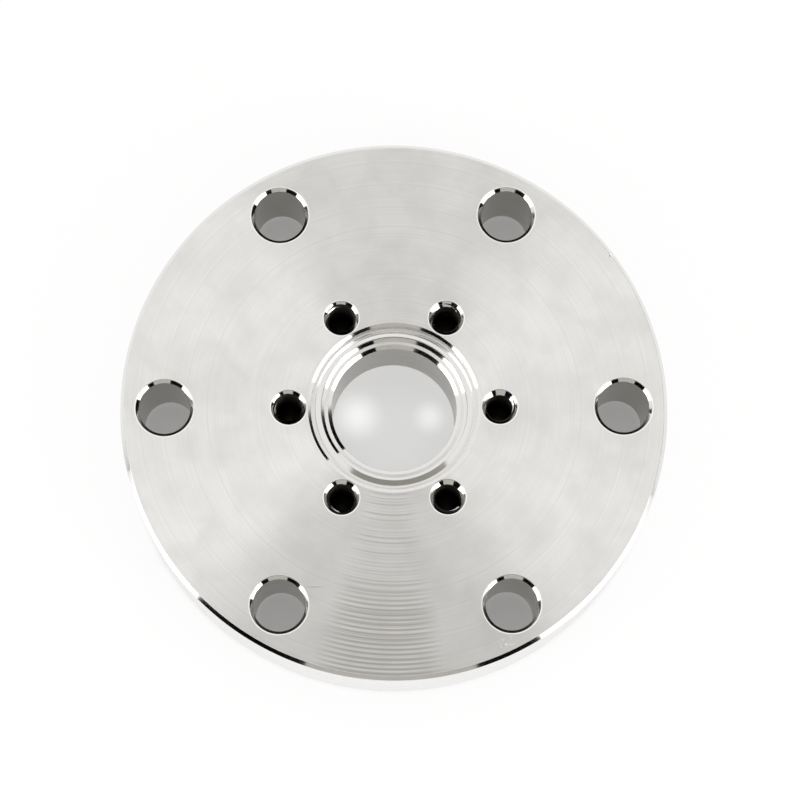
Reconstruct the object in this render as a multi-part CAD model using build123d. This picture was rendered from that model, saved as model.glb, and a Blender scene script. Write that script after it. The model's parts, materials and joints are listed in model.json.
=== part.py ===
from build123d import *

import os
from math import cos, radians, sin, tan

# A zero-length reducer flange for ultra-high vacuum: a DN 40 CF flange that carries a DN 16 CF
# sealing face on its other side. It is turned, drilled and tapped from one stainless steel blank.
#
# The frame: the DN 40 sealing face lies on z = 0 and looks down, the DN 16 sealing face looks up,
# and +Z runs along the bore. The first bolt hole of each circle is on +X. All sizes are in mm.

# The blank
OUTER_DIAMETER = 70.0
THICKNESS = 12.7
RIM_CHAMFER = 0.5
BORE_DIAMETER = 16.0

# The knife edge, which both sealing faces share in shape
RAMP_ANGLE = 20.0  # the outer flank falls away from the nose at this angle to the face
NOSE_RADIUS = 0.08
RECESS_MOUTH_CHAMFER = 0.3

# The DN 16 side, on top. Depths are below its own face.
DN16 = {
    "recess_diameter": 21.4,  # holds the 21.3 mm copper gasket
    "knife_diameter": 18.7,
    "knife_depth": 0.6,
    "ramp_width": 0.85,
    "flank_width": 0.3,
    "land_depth": 1.6,
    "bore_chamfer": 0.5,
}

# The DN 40 side, underneath
DN40 = {
    "recess_diameter": 48.3,  # holds the 48.2 mm copper gasket
    "knife_diameter": 41.9,
    "knife_depth": 0.65,
    "ramp_width": 1.6,
    "flank_width": 0.3,
    "land_depth": 1.25,
    "bore_chamfer": 0.4,
}

# Six clearance holes for M6 bolts, through the rim
BOLT_COUNT = 6
BOLT_CIRCLE = 58.7
BOLT_HOLE_DIAMETER = 6.6
BOLT_HOLE_CHAMFER = 0.4

# Six blind M4 holes round the DN 16 seal, at their core diameter
TAP_COUNT = 6
TAP_CIRCLE = 27.0
TAP_CORE_DIAMETER = 3.3
TAP_MOUTH_DIAMETER = 4.6
TAP_DEPTH = 8.0  # to the shoulder of the drill point
DRILL_POINT_ANGLE = 118.0

# Two grooves that let the leak-test gas reach the DN 40 gasket
GROOVE_ANGLES = (30.0, 210.0)
GROOVE_WIDTH = 2.0
GROOVE_DEPTH = 0.9

CUTTER_OVERLAP = 1.0  # how far a cutter stands out of the face that it starts from


def sealing_outline(side):
    """One sealing face in section, from the recess mouth in to the bore, as (radius, depth) points."""
    wall = side["recess_diameter"] / 2
    nose = side["knife_diameter"] / 2
    ramp_foot = nose + side["ramp_width"]
    seat_depth = side["knife_depth"] + side["ramp_width"] * tan(radians(RAMP_ANGLE))
    bore = BORE_DIAMETER / 2
    return [
        (wall + RECESS_MOUTH_CHAMFER, 0),
        (wall, RECESS_MOUTH_CHAMFER),
        (wall, seat_depth),
        (ramp_foot, seat_depth),
        (nose, side["knife_depth"]),
        (nose - side["flank_width"], side["land_depth"]),
        (bore + side["bore_chamfer"], side["land_depth"]),
        (bore, side["land_depth"] + side["bore_chamfer"]),
    ]


def turned_body():
    """The blank after turning: the whole section, spun round the bore."""
    rim = OUTER_DIAMETER / 2
    top_outline = [(radius, THICKNESS - depth) for radius, depth in sealing_outline(DN16)]
    bottom_outline = sealing_outline(DN40)
    rim_outline = [
        (rim - RIM_CHAMFER, 0),
        (rim, RIM_CHAMFER),
        (rim, THICKNESS - RIM_CHAMFER),
        (rim - RIM_CHAMFER, THICKNESS),
    ]
    section = make_face(Polyline(*rim_outline, *top_outline, *reversed(bottom_outline), close=True))
    noses = [
        (DN16["knife_diameter"] / 2, THICKNESS - DN16["knife_depth"]),
        (DN40["knife_diameter"] / 2, DN40["knife_depth"]),
    ]
    tips = [
        vertex
        for vertex in section.vertices()
        if any(abs(vertex.X - radius) + abs(vertex.Y - height) < 1e-6 for radius, height in noses)
    ]
    return revolve(Plane.XZ * fillet(tips, NOSE_RADIUS), Axis.Z)


def bolt_hole_cutter():
    """A through drill with a countersink at each end, standing on z = 0."""
    radius = BOLT_HOLE_DIAMETER / 2
    reach = CUTTER_OVERLAP + BOLT_HOLE_CHAMFER
    drill = Pos(0, 0, THICKNESS / 2) * Cylinder(radius, THICKNESS + 2 * CUTTER_OVERLAP)
    countersink = Cone(
        radius, radius + reach, reach, align=(Align.CENTER, Align.CENTER, Align.MIN)
    )
    upper = Pos(0, 0, THICKNESS - BOLT_HOLE_CHAMFER) * countersink
    lower = Pos(0, 0, BOLT_HOLE_CHAMFER) * Rot(180, 0, 0) * countersink
    return drill + upper + lower


def tapped_hole_cutter():
    """A blind drill with a countersunk mouth and a drill point, hanging from z = 0."""
    core = TAP_CORE_DIAMETER / 2
    mouth = TAP_MOUTH_DIAMETER / 2
    point = core / tan(radians(DRILL_POINT_ANGLE / 2))
    outline = Polyline(
        (0, CUTTER_OVERLAP),
        (mouth + CUTTER_OVERLAP, CUTTER_OVERLAP),
        (core, core - mouth),
        (core, -TAP_DEPTH),
        (0, -TAP_DEPTH - point),
        close=True,
    )
    return revolve(Plane.XZ * make_face(outline), Axis.Z)


def leak_groove_cutter(angle):
    """A straight slot along a radius, from the gasket recess out through the rim."""
    inner = DN40["recess_diameter"] / 2 - DN40["ramp_width"] / 2
    outer = OUTER_DIAMETER / 2 + CUTTER_OVERLAP
    middle = (inner + outer) / 2
    slot = Box(outer - inner, GROOVE_WIDTH, 2 * GROOVE_DEPTH)
    place = Pos(middle * cos(radians(angle)), middle * sin(radians(angle)), 0)
    return place * Rot(0, 0, angle) * slot


flange = turned_body()
for place in PolarLocations(BOLT_CIRCLE / 2, BOLT_COUNT):
    flange -= place * bolt_hole_cutter()
for place in PolarLocations(TAP_CIRCLE / 2, TAP_COUNT):
    flange -= Pos(0, 0, THICKNESS) * place * tapped_hole_cutter()
for angle in GROOVE_ANGLES:
    flange -= leak_groove_cutter(angle)

os.makedirs("parts", exist_ok=True)
export_step(flange, "parts/reducer_flange.step")
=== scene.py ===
import json
from math import cos, pi, radians, sin, tan

import bmesh
import bpy
from mathutils import Matrix, Vector


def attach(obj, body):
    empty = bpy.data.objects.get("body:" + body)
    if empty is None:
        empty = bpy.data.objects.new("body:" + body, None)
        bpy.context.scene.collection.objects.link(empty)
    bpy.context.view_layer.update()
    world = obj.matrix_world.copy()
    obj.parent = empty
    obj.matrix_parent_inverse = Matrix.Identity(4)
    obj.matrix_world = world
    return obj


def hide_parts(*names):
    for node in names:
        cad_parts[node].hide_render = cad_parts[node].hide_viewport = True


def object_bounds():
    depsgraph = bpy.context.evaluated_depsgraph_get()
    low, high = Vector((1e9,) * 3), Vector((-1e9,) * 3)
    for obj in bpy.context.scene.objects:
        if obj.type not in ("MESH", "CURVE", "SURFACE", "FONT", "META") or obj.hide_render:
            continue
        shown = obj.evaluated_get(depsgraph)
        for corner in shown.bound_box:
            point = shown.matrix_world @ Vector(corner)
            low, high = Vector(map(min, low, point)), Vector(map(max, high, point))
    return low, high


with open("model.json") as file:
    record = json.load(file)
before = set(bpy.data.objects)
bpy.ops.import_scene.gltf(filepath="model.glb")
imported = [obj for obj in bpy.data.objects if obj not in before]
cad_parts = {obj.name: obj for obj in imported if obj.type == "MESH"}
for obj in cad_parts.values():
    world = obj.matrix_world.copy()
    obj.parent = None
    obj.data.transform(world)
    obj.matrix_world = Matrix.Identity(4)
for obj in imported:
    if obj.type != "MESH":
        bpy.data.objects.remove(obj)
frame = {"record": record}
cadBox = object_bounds()

mm = 0.001
mounts = {mount["name"]: mount for mount in frame["record"]["mounts"]}
topFace = cadBox[1].z
rimRadius = cadBox[1].x
boreRadius = mounts["bore"]["dims"]["r_mm"] * mm
boltHoles = mounts["dn40_bolt_holes"]["dims"]
tappedHoles = mounts["dn16_tapped_holes"]["dims"]

# which material a face gets, by its place in every piece's slot list
turnedFace, brightCut, drilledWall, turnedWall, shadedTapWall, shadedBoreWall = range(6)


def hexColour(code):
    channels = [int(code[i:i + 2], 16) / 255 for i in (1, 3, 5)]
    linear = [c / 12.92 if c <= 0.04045 else ((c + 0.055) / 1.055) ** 2.4 for c in channels]
    return (*linear, 1.0)


def addNode(tree, kind, settings={}, inputs={}, links={}):
    node = tree.nodes.new(kind)
    for name, value in settings.items():
        setattr(node, name, value)
    for name, value in inputs.items():
        node.inputs[name].default_value = value
    for name, source in links.items():
        tree.links.new(source, node.inputs[name])
    return node


def newMaterial(name):
    material = bpy.data.materials.new(name)
    material.use_nodes = True
    material.node_tree.nodes.clear()
    return material, material.node_tree


# A facing tool feeds outwards while the blank turns, so it leaves one fine spiral. Across the spiral
# light spreads far, along it hardly at all: that is what draws the pale wedges out from the middle.
facedSteel = {
    "colour": "#dddcda",
    "stain": "#d2d0cc",
    "smudgeColour": "#d1cfcc",
    "rippleReflectionColour": "#b3b1ae",
    "scratchColour": "#a4a19d",
    "scuffColour": "#f2f1f0",
    "roughness": (0.35, 0.40),
    "spread": 0.90,
    "fineFeed": 0.33,   # mm between marks, drawn coarser than a facing tool's feed, too fine to show
    "wideFeed": 0.62,   # mm, wide waves drawn as tool chatter in the bump; in front they are also darkened, as painted reflection
    "wavesFrom": -0.4,   # only the upper part of each wide wave shows
    "patchesPerMm": 0.09,
    "smudgesPerMm": 0.22,
    "smudgeCover": (0.40, 0.75),
    "reflectedMarksInFront": 0.6,   # painted reflection: the fine marks are darkened most in front, between the two side lamps
    "depth": 0.0005,    # mm of bump
    "rippleAngle": 266.5,
    "sector": (0.962, 0.996),   # cosine off that angle, from the sector's edge to its full strength
    "chatterFrom": 21.0,   # mm from the middle, on the -Y side
    "chatterTo": 27.0,
    "scratch": {"from": (-11.7, -23.2), "to": (-8.9, -23.1), "width": 0.05},
    "scuff": {"centre": (14.0, -30.4), "size": 1.6, "grainPerMm": 3.0, "cover": (0.52, 0.60)},
}


def facedSteelMaterial():
    material, tree = newMaterial("facedStainlessSteel")
    place = addNode(tree, "ShaderNodeTexCoord").outputs["Object"]
    inMm = addNode(tree, "ShaderNodeVectorMath", {"operation": "SCALE"},
                   {"Scale": 1 / mm}, {"Vector": place}).outputs[0]
    flat = addNode(tree, "ShaderNodeVectorMath", {"operation": "MULTIPLY"},
                   {1: (1, 1, 0)}, {0: inMm}).outputs[0]
    radius = addNode(tree, "ShaderNodeVectorMath", {"operation": "LENGTH"}, {}, {0: flat}).outputs[1]
    outwards = addNode(tree, "ShaderNodeVectorMath", {"operation": "NORMALIZE"},
                       {}, {0: flat}).outputs[0]
    fine = addNode(tree, "ShaderNodeTexNoise", {"noise_dimensions": "1D"},
                   {"Scale": 1 / facedSteel["fineFeed"], "Detail": 1.0}, {"W": radius}).outputs[0]
    turns = addNode(tree, "ShaderNodeMath", {"operation": "MULTIPLY"},
                    {1: 2 * pi / facedSteel["wideFeed"]}, {0: radius}).outputs[0]
    wave = addNode(tree, "ShaderNodeMath", {"operation": "SINE"}, {}, {0: turns}).outputs[0]
    wide = addNode(tree, "ShaderNodeMapRange", {},
                   {"From Min": facedSteel["wavesFrom"], "From Max": 1.0}, {"Value": wave}).outputs[0]
    patches = addNode(tree, "ShaderNodeTexNoise", {},
                      {"Scale": facedSteel["patchesPerMm"], "Detail": 3.0}, {"Vector": flat}).outputs[0]
    smudges = addNode(tree, "ShaderNodeTexNoise", {},
                      {"Scale": facedSteel["smudgesPerMm"], "Detail": 5.0, "Distortion": 0.3},
                      {"Vector": flat}).outputs[0]
    height = addNode(tree, "ShaderNodeSeparateXYZ", {}, {}, {0: place}).outputs[2]
    onTop = addNode(tree, "ShaderNodeMath", {"operation": "GREATER_THAN"},
                    {1: topFace / 2}, {0: height}).outputs[0]
    front = radians(facedSteel["rippleAngle"])
    towardsFront = addNode(tree, "ShaderNodeVectorMath", {"operation": "DOT_PRODUCT"},
                           {1: (cos(front), sin(front), 0)}, {0: outwards}).outputs["Value"]
    sectorEdge, sectorFull = facedSteel["sector"]
    frontSector = addNode(tree, "ShaderNodeMapRange", {"interpolation_type": "SMOOTHSTEP"},
                          {"From Min": sectorEdge, "From Max": sectorFull},
                          {"Value": towardsFront}).outputs[0]
    frontSector = addNode(tree, "ShaderNodeMath", {"operation": "MULTIPLY"}, {},
                          {0: frontSector, 1: onTop}).outputs[0]
    outerBand = addNode(tree, "ShaderNodeMapRange", {"interpolation_type": "SMOOTHSTEP"},
                        {"From Min": facedSteel["chatterFrom"], "From Max": facedSteel["chatterTo"]},
                        {"Value": radius}).outputs[0]
    comesAndGoes = addNode(tree, "ShaderNodeMath", {"operation": "MULTIPLY"}, {},
                           {0: frontSector, 1: outerBand}).outputs[0]
    chatter = addNode(tree, "ShaderNodeMath", {"operation": "MULTIPLY"}, {},
                      {0: wide, 1: comesAndGoes}).outputs[0]
    marks = addNode(tree, "ShaderNodeMath", {"operation": "ADD"}, {}, {0: fine, 1: chatter}).outputs[0]

    scratch = facedSteel["scratch"]
    start, end = Vector((*scratch["from"], 0)), Vector((*scratch["to"], 0))
    middle, reach = (start + end) / 2, (end - start).length / 2
    fromScratch = addNode(tree, "ShaderNodeVectorMath", {"operation": "SUBTRACT"},
                          {1: middle}, {0: flat}).outputs[0]
    stretched = addNode(tree, "ShaderNodeVectorMath", {"operation": "MULTIPLY"},
                        {1: (1 / reach, 1 / scratch["width"], 0)}, {0: fromScratch}).outputs[0]
    scratchEdge = addNode(tree, "ShaderNodeVectorMath", {"operation": "LENGTH"},
                          {}, {0: stretched}).outputs[1]
    scratchMark = addNode(tree, "ShaderNodeMapRange", {},
                          {"From Min": 1.0, "From Max": 0.5}, {"Value": scratchEdge}).outputs[0]
    scratchMark = addNode(tree, "ShaderNodeMath", {"operation": "MULTIPLY"}, {},
                          {0: scratchMark, 1: onTop}).outputs[0]

    scuff = facedSteel["scuff"]
    fromScuff = addNode(tree, "ShaderNodeVectorMath", {"operation": "DISTANCE"},
                        {1: (*scuff["centre"], 0)}, {0: flat}).outputs["Value"]
    scuffArea = addNode(tree, "ShaderNodeMapRange", {},
                        {"From Min": scuff["size"], "From Max": 0.0}, {"Value": fromScuff}).outputs[0]
    scuffArea = addNode(tree, "ShaderNodeMath", {"operation": "MULTIPLY"}, {},
                        {0: scuffArea, 1: onTop}).outputs[0]
    scuffGrain = addNode(tree, "ShaderNodeTexNoise", {},
                         {"Scale": scuff["grainPerMm"], "Detail": 4.0}, {"Vector": flat}).outputs[0]
    bare, rubbed = scuff["cover"]
    scuffSpots = addNode(tree, "ShaderNodeMapRange", {},
                         {"From Min": bare, "From Max": rubbed}, {"Value": scuffGrain}).outputs[0]
    scuffMark = addNode(tree, "ShaderNodeMath", {"operation": "MULTIPLY"}, {},
                        {0: scuffArea, 1: scuffSpots}).outputs[0]

    markDepth = addNode(tree, "ShaderNodeMapRange", {},
                        {"From Min": 0.3, "From Max": 1.2}, {"Value": marks}).outputs[0]
    # painted reflection: the fine marks and the chatter are drawn darker only in the front sector, where
    # the lit rings mirror dark and bright in turn
    coarse = addNode(tree, "ShaderNodeMapRange", {},
                     {"From Min": 0.48, "From Max": 0.72, "To Max": facedSteel["reflectedMarksInFront"]},
                     {"Value": fine}).outputs[0]
    coarse = addNode(tree, "ShaderNodeMath", {"operation": "MULTIPLY"},
                     {}, {0: coarse, 1: frontSector}).outputs[0]
    paintedRippleReflection = addNode(tree, "ShaderNodeMath", {"operation": "MAXIMUM"},
                      {}, {0: coarse, 1: chatter}).outputs[0]
    clean, handledMost = facedSteel["smudgeCover"]
    handled = addNode(tree, "ShaderNodeMapRange", {},
                      {"From Min": clean, "From Max": handledMost}, {"Value": smudges}).outputs[0]

    wearAndPaintedReflection = addNode(tree, "ShaderNodeMix", {"data_type": "RGBA"},
                   {6: hexColour(facedSteel["colour"]), 7: hexColour(facedSteel["stain"])},
                   {"Factor": markDepth}).outputs[2]
    # the last colours laid over the wear: the painted reflection of the front marks, a scratch and a
    # scuff
    for mask, mark in ((handled, "smudgeColour"), (paintedRippleReflection, "rippleReflectionColour"),
                       (scratchMark, "scratchColour"), (scuffMark, "scuffColour")):
        wearAndPaintedReflection = addNode(tree, "ShaderNodeMix", {"data_type": "RGBA"}, {7: hexColour(facedSteel[mark])},
                       {"Factor": mask, 6: wearAndPaintedReflection}).outputs[2]

    low, high = facedSteel["roughness"]
    roughness = addNode(tree, "ShaderNodeMapRange", {},
                        {"From Min": 0.3, "From Max": 0.7, "To Min": low, "To Max": high},
                        {"Value": patches}).outputs[0]
    bump = addNode(tree, "ShaderNodeBump", {}, {"Strength": 1.0, "Distance": facedSteel["depth"] * mm},
                   {"Height": marks}).outputs[0]
    shader = addNode(tree, "ShaderNodeBsdfPrincipled", {},
                     {"Metallic": 1.0, "Anisotropic": facedSteel["spread"]},
                     {"Base Color": wearAndPaintedReflection, "Roughness": roughness, "Normal": bump, "Tangent": outwards})
    addNode(tree, "ShaderNodeOutputMaterial", {}, {}, {"Surface": shader.outputs[0]})
    return material


# The chamfers and the knife edge are cut last, with a fresh tool and fine feed: nearly a mirror.
# The drill leaves a duller wall, and the boring bar fine rings round the bore, whose wall is darkened as
# painted shade.
# The rim is turned along, so its marks run round it in lines. The tapped threads are drawn near-black,
# as painted shade deep in the holes.
# Grain and depth are in mm.
plainSteels = {
    "brightCutStainlessSteel": {
        "colour": "#e8e7e5", "roughness": (0.05, 0.11), "grain": 0.8, "depth": 0.0002},
    "drilledStainlessSteel": {
        "colour": "#aeaaa2", "roughness": (0.16, 0.26), "grain": 0.5, "depth": 0.001},
    "turnedRimStainlessSteel": {
        "colour": "#f3f2f1", "roughness": (0.24, 0.34), "grain": 0.25, "depth": 0.001},
    # painted shade: near-black, for the shade deep in the tapped holes
    "tapShadedStainlessSteel": {
        "colour": "#2f2c29", "roughness": (0.40, 0.52), "grain": 0.5, "depth": 0.001},
    # painted shade: darker than the other steels, for the shade in the bore
    "boreShadedStainlessSteel": {
        "colour": "#99958e", "roughness": (0.18, 0.28), "grain": 0.35, "depth": 0.001},
}
grainAcross = 0.15   # per mm round the part, where the grain runs long


def plainSteelMaterial(name):
    steel = plainSteels[name]
    material, tree = newMaterial(name)
    place = addNode(tree, "ShaderNodeTexCoord").outputs["Object"]
    along = addNode(tree, "ShaderNodeMapping", {},
                    {"Scale": (grainAcross / mm, grainAcross / mm, 1 / (steel["grain"] * mm))},
                    {"Vector": place}).outputs[0]
    grain = addNode(tree, "ShaderNodeTexNoise", {},
                    {"Scale": 1.0, "Detail": 3.0}, {"Vector": along}).outputs[0]
    low, high = steel["roughness"]
    roughness = addNode(tree, "ShaderNodeMapRange", {},
                        {"From Min": 0.3, "From Max": 0.7, "To Min": low, "To Max": high},
                        {"Value": grain}).outputs[0]
    bump = addNode(tree, "ShaderNodeBump", {}, {"Strength": 1.0, "Distance": steel["depth"] * mm},
                   {"Height": grain}).outputs[0]
    shader = addNode(tree, "ShaderNodeBsdfPrincipled", {},
                     {"Metallic": 1.0, "Base Color": hexColour(steel["colour"])},
                     {"Roughness": roughness, "Normal": bump})
    addNode(tree, "ShaderNodeOutputMaterial", {}, {}, {"Surface": shader.outputs[0]})
    return material


steels = [facedSteelMaterial()] + [plainSteelMaterial(name) for name in plainSteels]
print("materials:", ", ".join(steel.name for steel in steels))


def makePiece(name, bm, materials=steels):
    mesh = bpy.data.meshes.new(name)
    bm.to_mesh(mesh)
    bm.free()
    piece = bpy.data.objects.new(name, mesh)
    bpy.context.scene.collection.objects.link(piece)
    for material in materials:
        mesh.materials.append(material)
    return piece


def outlineToBmesh(outline, closed, edgeBreak):
    bm = bmesh.new()
    corners = [bm.verts.new((r, 0, z)) for r, z in outline]
    for first, second in zip(corners, corners[1:]):
        bm.edges.new((first, second))
    if closed:
        bm.edges.new((corners[-1], corners[0]))
    broken = [v for v in bm.verts if len(v.link_edges) == 2]
    bmesh.ops.bevel(bm, geom=broken, offset=edgeBreak, offset_type="OFFSET", segments=2, profile=0.5,
                    affect="VERTICES", clamp_overlap=True, material=-1)
    return bm


mergeDistance = 1e-7


def closeUp(bm):
    bmesh.ops.remove_doubles(bm, verts=bm.verts[:], dist=mergeDistance)
    bmesh.ops.recalc_face_normals(bm, faces=bm.faces[:])


def spinRound(bm, steps):
    bmesh.ops.spin(bm, geom=bm.verts[:] + bm.edges[:], cent=(0, 0, 0), axis=(0, 0, 1),
                   angle=2 * pi, steps=steps, use_merge=True)
    closeUp(bm)


# how level a face is: 1 lies flat, 0 stands upright
levelFrom = 0.97
uprightTo = 0.15


def paintBore(bm):
    for face in bm.faces:
        middle = face.calc_center_median()
        onBore = Vector((middle.x, middle.y)).length < boreRadius * 1.01
        # painted shade: the upright faces of the bore take the darker bore colour
        if abs(face.normal.z) < uprightTo and onBore:
            face.material_index = shadedBoreWall


def paintBelow(bm, height, slot):
    for face in bm.faces:
        if face.calc_center_median().z < height:
            face.material_index = slot


def paintByTilt(bm, level, sloped, upright):
    for face in bm.faces:
        tilt = abs(face.normal.z)
        face.material_index = level if tilt > levelFrom else sloped if tilt > uprightTo else upright
        face.smooth = True


def copyRound(bm, circle, count, height=0.0):
    source = bm.faces[:]
    shift = Vector((circle, 0, height))
    bmesh.ops.translate(bm, verts=bm.verts[:], vec=shift)
    for turn in range(1, count):
        twin = bmesh.ops.duplicate(bm, geom=source)["geom"]
        twinVerts = [item for item in twin if isinstance(item, bmesh.types.BMVert)]
        step = Matrix.Rotation(2 * pi * turn / count, 3, "Z")
        bmesh.ops.rotate(bm, verts=twinVerts, cent=(0, 0, 0), matrix=step)


def applyModifiers(piece):
    bpy.context.view_layer.update()
    evaluated = piece.evaluated_get(bpy.context.evaluated_depsgraph_get())
    result = bpy.data.meshes.new_from_object(evaluated)
    piece.modifiers.clear()
    piece.data = result


def cutAway(piece, cutter):
    boolean = piece.modifiers.new("cut", "BOOLEAN")
    boolean.operation = "DIFFERENCE"
    boolean.solver = "EXACT"
    boolean.object = cutter
    applyModifiers(piece)
    bpy.data.objects.remove(cutter)


body = {
    "rimChamfer": 0.5 * mm,
    "edgeBreak": 0.05 * mm,
    "steps": 288,
    "witnessDepth": 6.6 * mm,   # where the two turning set-ups meet on the rim
    "witnessWidth": 0.16 * mm,
    "witnessCut": 0.03 * mm,
    "sharpFrom": radians(32),
    "flatWeight": 80,
}

# the two knife-edge seals, by radius and by depth under their own face
upperSeal = {
    "recess": 10.65 * mm, "mouth": 0.42 * mm, "rampWidth": 0.82 * mm,
    "knife": 9.38 * mm, "knifeDepth": 0.6 * mm, "drop": 0.45 * mm, "flankWidth": 0.45 * mm,
    "boreChamfer": 0.52 * mm,
}
lowerSeal = {
    "recess": 24.15 * mm, "mouth": 0.3 * mm, "rampWidth": 1.6 * mm,
    "knife": 20.95 * mm, "knifeDepth": 0.65 * mm, "drop": 0.38 * mm, "flankWidth": 0.3 * mm,
    "boreChamfer": 0.4 * mm,
}
rampAngle = radians(20)
coneSlope = tan(radians(35.5))   # of the mouth, the knife's inner flank and the bore's edge
relief = {"width": 0.2 * mm, "depth": 0.09 * mm}   # the tool's own groove, where ramp and seat meet


def sealOutline(seal):
    foot = seal["knife"] + seal["rampWidth"]
    seat = seal["knifeDepth"] + seal["rampWidth"] * tan(rampAngle)
    flankTop = seal["knifeDepth"] + seal["drop"]
    land = flankTop + seal["flankWidth"] * coneSlope
    return [
        (seal["recess"] + seal["mouth"], 0),
        (seal["recess"], seal["mouth"] * coneSlope),
        (seal["recess"], seat),
        (foot + relief["width"] / 2, seat),
        (foot, seat + relief["depth"]),
        (foot - relief["width"] / 2, seat),
        (seal["knife"], seal["knifeDepth"]),
        (seal["knife"], flankTop),
        (seal["knife"] - seal["flankWidth"], land),
        (boreRadius + seal["boreChamfer"], land),
        (boreRadius, land + seal["boreChamfer"] * coneSlope),
    ]


def makeBody():
    chamfer = body["rimChamfer"]
    line = topFace - body["witnessDepth"]
    half = body["witnessWidth"] / 2
    rim = [
        (rimRadius - chamfer, 0),
        (rimRadius, chamfer),
        (rimRadius, line - half),
        (rimRadius - body["witnessCut"], line),
        (rimRadius, line + half),
        (rimRadius, topFace - chamfer),
        (rimRadius - chamfer, topFace),
    ]
    upper = [(r, topFace - depth) for r, depth in sealOutline(upperSeal)]
    lower = list(reversed(sealOutline(lowerSeal)))
    bm = outlineToBmesh(rim + upper + lower, True, body["edgeBreak"])
    # half a step round, so that no edge of the body runs through the middle of a hole
    halfStep = Matrix.Rotation(pi / body["steps"], 3, "Z")
    bmesh.ops.rotate(bm, verts=bm.verts[:], cent=(0, 0, 0), matrix=halfStep)
    spinRound(bm, body["steps"])
    paintByTilt(bm, turnedFace, brightCut, turnedWall)
    paintBore(bm)
    return makePiece("flange", bm)


hole = {
    "chamfer": 0.45 * mm,
    "lip": 0.09 * mm,      # the burr line round each mouth, rubbed off
    "lipRise": 0.05 * mm,
    "lipWidth": 0.24 * mm,
    "lipClear": 0.1 * mm,
    "overlap": 1.0 * mm,
    "edgeBreak": 0.03 * mm,
    "steps": 96,
}
tap = {
    "mouth": 2.3 * mm,
    "depth": 8.0 * mm,
    "pointAngle": radians(118),
    "edgeBreak": 0.02 * mm,
    "steps": 64,
    "pitch": 0.7 * mm,     # M4
    "threadRadius": 2.0 * mm,
    "threadCore": 1.6 * mm,
    "threadCrest": 0.075 * mm,
    "threadFlank": 0.231 * mm,
    "threadTurns": 9,
    "threadSteps": 40,
}
groove = {"angles": (30, 210), "width": 2.0 * mm, "depth": 0.9 * mm}
# a small ball stands over the rim's upper edge and cuts into it
nick = {"angle": 35.2, "radius": 34.62 * mm, "size": 0.45 * mm, "height": 0.28 * mm}


def lipOutline(mouth, face, away):
    # the mouth's edge, from the countersink over the lip to clear of the face
    rise = hole["lipRise"] * away
    outer = mouth + hole["lip"] + hole["lipWidth"]
    return [
        (mouth - hole["lipRise"], face - rise),
        (outer, face + hole["lipClear"] * away),
        (outer, face + hole["overlap"] * away),
    ]


def makeBoltHoleCutter():
    radius = boltHoles["hole_r_mm"] * mm
    mouth = radius + hole["chamfer"]
    over = hole["overlap"]
    upper = [(radius, topFace - hole["chamfer"])] + lipOutline(mouth, topFace, 1) + [(0, topFace + over)]
    lower = [(radius, hole["chamfer"])] + lipOutline(mouth, 0, -1) + [(0, -over)]
    bm = outlineToBmesh(list(reversed(lower)) + upper, False, hole["edgeBreak"])
    spinRound(bm, hole["steps"])
    paintByTilt(bm, turnedFace, brightCut, drilledWall)
    copyRound(bm, boltHoles["pcd_mm"] / 2 * mm, boltHoles["count"])
    return makePiece("boltHoleCutter", bm)


def makeTapDrillCutter():
    core = tappedHoles["hole_r_mm"] * mm
    point = core / tan(tap["pointAngle"] / 2)
    sink = tap["mouth"] - core
    outline = [(0, -tap["depth"] - point), (core, -tap["depth"]), (core, -sink)]
    outline += lipOutline(tap["mouth"], 0, 1) + [(0, hole["overlap"])]
    bm = outlineToBmesh(outline, False, tap["edgeBreak"])
    spinRound(bm, tap["steps"])
    # painted shade: the tap's wall, and below it everything deeper than the countersink, drill point
    # too, take the near-black tap colour
    paintByTilt(bm, turnedFace, brightCut, shadedTapWall)
    paintBelow(bm, -sink - tap["pitch"], shadedTapWall)
    copyRound(bm, tappedHoles["pcd_mm"] / 2 * mm, tappedHoles["count"], topFace)
    return makePiece("tapDrillCutter", bm)


def makeThreadCutter():
    pitch, steps, turns = tap["pitch"], tap["threadSteps"], tap["threadTurns"]
    core, crest = tap["threadCore"], tap["threadCrest"]
    flankTop = crest + tap["threadFlank"]
    ridge = [
        (core, 0), (core, crest), (tap["threadRadius"], flankTop),
        (tap["threadRadius"], pitch - flankTop), (core, pitch - crest), (core, pitch),
    ]
    bm = bmesh.new()
    corners = [bm.verts.new((r, 0, z)) for r, z in ridge]
    for first, second in zip(corners, corners[1:]):
        bm.edges.new((first, second))
    bmesh.ops.spin(bm, geom=bm.verts[:] + bm.edges[:], cent=(0, 0, 0), axis=(0, 0, 1),
                   dvec=(0, 0, pitch / steps), angle=2 * pi * turns, steps=steps * turns,
                   use_merge=False)
    bmesh.ops.remove_doubles(bm, verts=bm.verts[:], dist=mergeDistance)
    ends = [edge for edge in bm.edges if edge.is_boundary]
    low = [edge for edge in ends if max(v.co.z for v in edge.verts) < pitch * 1.01]
    high = [edge for edge in ends if edge not in low]
    # each open end closes to a point on the axis
    for rim, height in ((low, -pitch / 2), (high, pitch * (turns + 1.5))):
        fan = bmesh.ops.extrude_edge_only(bm, edges=rim)["geom"]
        tips = [item for item in fan if isinstance(item, bmesh.types.BMVert)]
        bmesh.ops.pointmerge(bm, verts=tips, merge_co=(0, 0, height))
    bmesh.ops.dissolve_degenerate(bm, dist=1e-8, edges=bm.edges[:])
    closeUp(bm)
    # painted shade: the threads take the near-black tap colour
    paintByTilt(bm, shadedTapWall, shadedTapWall, shadedTapWall)
    copyRound(bm, tappedHoles["pcd_mm"] / 2 * mm, tappedHoles["count"], topFace - pitch * turns)
    return makePiece("threadCutter", bm)


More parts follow.
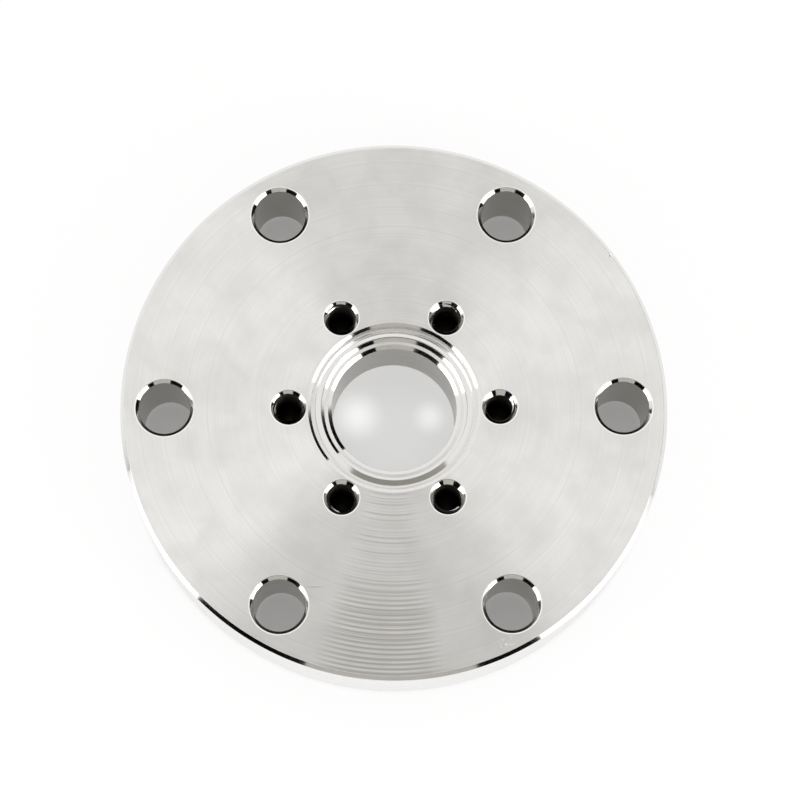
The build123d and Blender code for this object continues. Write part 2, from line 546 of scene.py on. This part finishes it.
def makeGrooveCutter():
    inner = lowerSeal["recess"] - lowerSeal["rampWidth"] / 2
    outer = rimRadius + hole["overlap"]
    bm = bmesh.new()
    for angle in groove["angles"]:
        turn = Matrix.Rotation(radians(angle), 3, "Z")
        block = bmesh.ops.create_cube(bm, size=1.0)["verts"]
        bmesh.ops.scale(bm, verts=block, vec=(outer - inner, groove["width"], 2 * groove["depth"]))
        bmesh.ops.translate(bm, verts=block, vec=((outer + inner) / 2, 0, 0))
        bmesh.ops.rotate(bm, verts=block, cent=(0, 0, 0), matrix=turn)
    closeUp(bm)
    paintByTilt(bm, brightCut, brightCut, brightCut)
    return makePiece("grooveCutter", bm)


def makeNickCutter():
    turn = radians(nick["angle"])
    bm = bmesh.new()
    bmesh.ops.create_icosphere(bm, subdivisions=3, radius=nick["size"])
    centre = (nick["radius"] * cos(turn), nick["radius"] * sin(turn), topFace + nick["height"])
    bmesh.ops.translate(bm, verts=bm.verts[:], vec=centre)
    paintByTilt(bm, brightCut, brightCut, brightCut)
    return makePiece("nickCutter", bm)


def finishSurface(piece):
    for polygon in piece.data.polygons:
        polygon.use_smooth = True
    piece.data.set_sharp_from_angle(angle=body["sharpFrom"])
    # this modifier passes over faces of less than a square millimetre, so it works on the mesh enlarged
    piece.data.transform(Matrix.Scale(1 / mm, 4))
    weighted = piece.modifiers.new("flatFacesStayFlat", "WEIGHTED_NORMAL")
    weighted.keep_sharp = True
    weighted.weight = body["flatWeight"]
    applyModifiers(piece)
    piece.data.transform(Matrix.Scale(mm, 4))


flange = makeBody()
print("body turned:", len(flange.data.polygons), "faces")
cutters = makeBoltHoleCutter, makeTapDrillCutter, makeThreadCutter, makeGrooveCutter, makeNickCutter
for makeCutter in cutters:
    cutAway(flange, makeCutter())
    print("after", makeCutter.__name__, len(flange.data.polygons), "faces")
finishSurface(flange)

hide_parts("reducer_flange")
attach(flange, "root")


studio = {
    "floorColour": "#f2f2f1",
    "floorSize": 6.0,
    "floorRoughness": 0.9,
    "backgroundLift": 0.85,   # how far the floor round the part is raised to plain white
    "liftFrom": -1.0 * mm,    # past the rim, where that begins and where it is full
    "liftTo": 0.5 * mm,
    "paintedLightUnderHoles": 0.20,        # painted light: the floor seen through the bolt holes, in the part's shade, is raised towards white too
    "paintedLightUnderBore": 0.46,         # painted light, more of it, on the floor seen through the bore
    "glints": (               # where the bore's wall throws light on the floor: place, reach, strength
        ((-4.7 * mm, 1.5 * mm), 4.2 * mm, 0.40),
        ((4.8 * mm, 1.3 * mm), 2.9 * mm, 0.30),
    ),
    "skyColour": "#fbfbfa",
    "skyStrength": 1.0,
    "flagRadius": 0.42,
    "flagSteps": 48,
}

# upright cards, by compass angle from +X, and by height
flags = {
    "farFlag": {"from": -9, "to": 48, "low": -0.02, "high": 0.16, "colour": "#0c0c0c"},
    "leftGapFlag": {"from": 217, "to": 248, "low": 0.0, "high": 0.34, "colour": "#0c0c0c"},
    "rightGapFlag": {"from": 291, "to": 308, "low": 0.0, "high": 0.34, "colour": "#0c0c0c"},
    "farLeftFlag": {"from": 150, "to": 183, "low": -0.02, "high": 0.05, "colour": "#0c0c0c"},
    "frontCard": {"from": 248, "to": 291, "low": 0.0, "high": 0.34, "colour": "#b5b2ae"},
}

# one soft box each side of the camera, with a bare lamp in it, and a large one overhead
softBoxes = {
    "rightSoftBox": {
        "angle": 330, "height": 0.20, "distance": 0.52, "size": (0.46, 0.42), "power": 0.74},
    "rightLamp": {
        "angle": 322, "height": 0.20, "distance": 0.50, "size": (0.10, 0.42), "power": 0.27},
    "leftSoftBox": {
        "angle": 200, "height": 0.20, "distance": 0.52, "size": (0.35, 0.42), "power": 0.49},
    "leftLamp": {
        "angle": 208, "height": 0.20, "distance": 0.50, "size": (0.08, 0.42), "power": 0.17},
    "topSoftBox": {
        "angle": 90, "height": 0.90, "distance": 0.16, "size": (0.70, 0.70), "power": 0.6},
}

cameraSetup = {
    "aim": (0.74 * mm, 0.92 * mm),   # on the upper face
    "distance": 371.8 * mm,
    "tilt": radians(12.11),
    "turn": radians(-4.05),
    "roll": radians(3.78),
    "lens": 130.85,
    "sensor": 36.0,
    "bodySize": (0.23, 0.15),
    "bodyShift": (0.03, -0.07),
    "bodyBehind": 0.02,
    "bodyColour": "#8f8c88",
}


def makeFloor():
    bm = bmesh.new()
    bmesh.ops.create_grid(bm, x_segments=1, y_segments=1, size=studio["floorSize"] / 2)
    material, tree = newMaterial("paperFloor")
    place = addNode(tree, "ShaderNodeTexCoord").outputs["Object"]
    radius = addNode(tree, "ShaderNodeVectorMath", {"operation": "LENGTH"},
                     {}, {0: place}).outputs["Value"]
    # painted light: the floor under the part, in its shade, is raised towards white, most under the bore
    paintedLightUnderPart = addNode(tree, "ShaderNodeMapRange", {},
                    {"From Min": boreRadius, "From Max": 2 * boreRadius,
                     "To Min": studio["paintedLightUnderBore"], "To Max": studio["paintedLightUnderHoles"]},
                    {"Value": radius}).outputs[0]
    outside = addNode(tree, "ShaderNodeMapRange", {},
                      {"From Min": rimRadius + studio["liftFrom"],
                       "From Max": rimRadius + studio["liftTo"],
                       "To Max": studio["backgroundLift"] - studio["paintedLightUnderHoles"]},
                      {"Value": radius}).outputs[0]
    lift = addNode(tree, "ShaderNodeMath", {"operation": "ADD"}, {}, {0: paintedLightUnderPart, 1: outside}).outputs[0]
    for spot, reach, strength in studio["glints"]:
        away = addNode(tree, "ShaderNodeVectorMath", {"operation": "DISTANCE"},
                       {1: (*spot, 0)}, {0: place}).outputs["Value"]
        glint = addNode(tree, "ShaderNodeMapRange", {"interpolation_type": "SMOOTHSTEP"},
                        {"From Min": reach, "From Max": 0.0, "To Max": strength},
                        {"Value": away}).outputs[0]
        lift = addNode(tree, "ShaderNodeMath", {"operation": "ADD"}, {}, {0: lift, 1: glint}).outputs[0]
    ray = addNode(tree, "ShaderNodeLightPath").outputs
    seen = addNode(tree, "ShaderNodeMath", {"operation": "MAXIMUM"}, {},
                   {0: ray["Is Camera Ray"], 1: ray["Is Glossy Ray"]}).outputs[0]
    seen = addNode(tree, "ShaderNodeMath", {"operation": "MAXIMUM"}, {},
                   {0: seen, 1: ray["Is Transmission Ray"]}).outputs[0]
    lift = addNode(tree, "ShaderNodeMath", {"operation": "MULTIPLY"}, {}, {0: seen, 1: lift}).outputs[0]
    paper = addNode(tree, "ShaderNodeBsdfPrincipled", {},
                    {"Base Color": hexColour(studio["floorColour"]),
                     "Roughness": studio["floorRoughness"], "Specular IOR Level": 0.2})
    white = addNode(tree, "ShaderNodeEmission", {}, {"Color": (1, 1, 1, 1), "Strength": 1.0})
    mixed = addNode(tree, "ShaderNodeMixShader", {}, {},
                    {0: lift, 1: paper.outputs[0], 2: white.outputs[0]})
    addNode(tree, "ShaderNodeOutputMaterial", {}, {}, {"Surface": mixed.outputs[0]})
    makePiece("floor", bm, [material])


def makeFlag(name, card, material):
    bm = bmesh.new()
    radius = studio["flagRadius"]
    foot = bm.verts.new((radius, 0, card["low"]))
    top = bm.verts.new((radius, 0, card["high"]))
    edge = bm.edges.new((foot, top))
    start = Matrix.Rotation(radians(card["from"]), 3, "Z")
    bmesh.ops.rotate(bm, verts=bm.verts[:], cent=(0, 0, 0), matrix=start)
    bmesh.ops.spin(bm, geom=[foot, top, edge], cent=(0, 0, 0), axis=(0, 0, 1),
                   angle=radians(card["to"] - card["from"]), steps=studio["flagSteps"],
                   use_merge=False)
    flag = makePiece(name, bm, [material])
    hideFromAllButGloss(flag)


def hideFromAllButGloss(thing):
    thing.visible_camera = False
    thing.visible_diffuse = False
    thing.visible_shadow = False
    thing.visible_transmission = False


def cardMaterial(name, colour):
    material, tree = newMaterial(name)
    shader = addNode(tree, "ShaderNodeBsdfDiffuse", {}, {"Color": hexColour(colour)})
    addNode(tree, "ShaderNodeOutputMaterial", {}, {}, {"Surface": shader.outputs[0]})
    return material


def makeSoftBox(name, box):
    light = bpy.data.lights.new(name, "AREA")
    light.shape = "RECTANGLE"
    light.size, light.size_y = box["size"]
    light.energy = box["power"]
    lamp = bpy.data.objects.new(name, light)
    turn = radians(box["angle"])
    lamp.location = (box["distance"] * cos(turn), box["distance"] * sin(turn), box["height"])
    lamp.rotation_euler = (-lamp.location).to_track_quat("-Z", "Y").to_euler()
    bpy.context.scene.collection.objects.link(lamp)


def makeSky():
    world = bpy.data.worlds.new("studioSky")
    world.use_nodes = True
    tree = world.node_tree
    tree.nodes.clear()
    sky = addNode(tree, "ShaderNodeBackground", {},
                  {"Color": hexColour(studio["skyColour"]), "Strength": studio["skyStrength"]})
    addNode(tree, "ShaderNodeOutputWorld", {}, {}, {"Surface": sky.outputs[0]})
    bpy.context.scene.world = world


def makeCamera(material):
    setup = cameraSetup
    tilt, turn, roll = setup["tilt"], setup["turn"], setup["roll"]
    back = Vector((sin(turn) * sin(tilt), -cos(turn) * sin(tilt), cos(tilt)))
    level = Vector((cos(turn), sin(turn), 0))
    upright = back.cross(level)
    right = cos(roll) * level + sin(roll) * upright
    up = cos(roll) * upright - sin(roll) * level
    camera = bpy.data.objects.new("camera", bpy.data.cameras.new("camera"))
    camera.data.lens = setup["lens"]
    camera.data.sensor_width = setup["sensor"]
    camera.data.clip_start = 0.01
    place = Vector((*setup["aim"], topFace)) + back * setup["distance"]
    camera.matrix_world = Matrix((
        (right.x, up.x, back.x, place.x),
        (right.y, up.y, back.y, place.y),
        (right.z, up.z, back.z, place.z),
        (0, 0, 0, 1),
    ))
    bpy.context.scene.collection.objects.link(camera)
    bpy.context.scene.camera = camera
    # whoever holds the camera, a grey patch that the steel mirrors
    bm = bmesh.new()
    bmesh.ops.create_circle(bm, cap_ends=True, radius=1.0, segments=48)
    bmesh.ops.scale(bm, verts=bm.verts[:], vec=(*setup["bodySize"], 1.0))
    bmesh.ops.translate(bm, verts=bm.verts[:], vec=(*setup["bodyShift"], 0))
    behind = Matrix.Translation(back * setup["bodyBehind"]) @ camera.matrix_world
    bmesh.ops.transform(bm, matrix=behind, verts=bm.verts[:])
    cameraBody = makePiece("cameraBody", bm, [material])
    hideFromAllButGloss(cameraBody)


makeCamera(cardMaterial("greyClothing", cameraSetup["bodyColour"]))
makeSky()
makeFloor()
for flagName, card in flags.items():
    makeFlag(flagName, card, cardMaterial(flagName, card["colour"]))
for boxName, box in softBoxes.items():
    makeSoftBox(boxName, box)
bpy.context.scene.view_settings.view_transform = "Standard"
print("studio set")
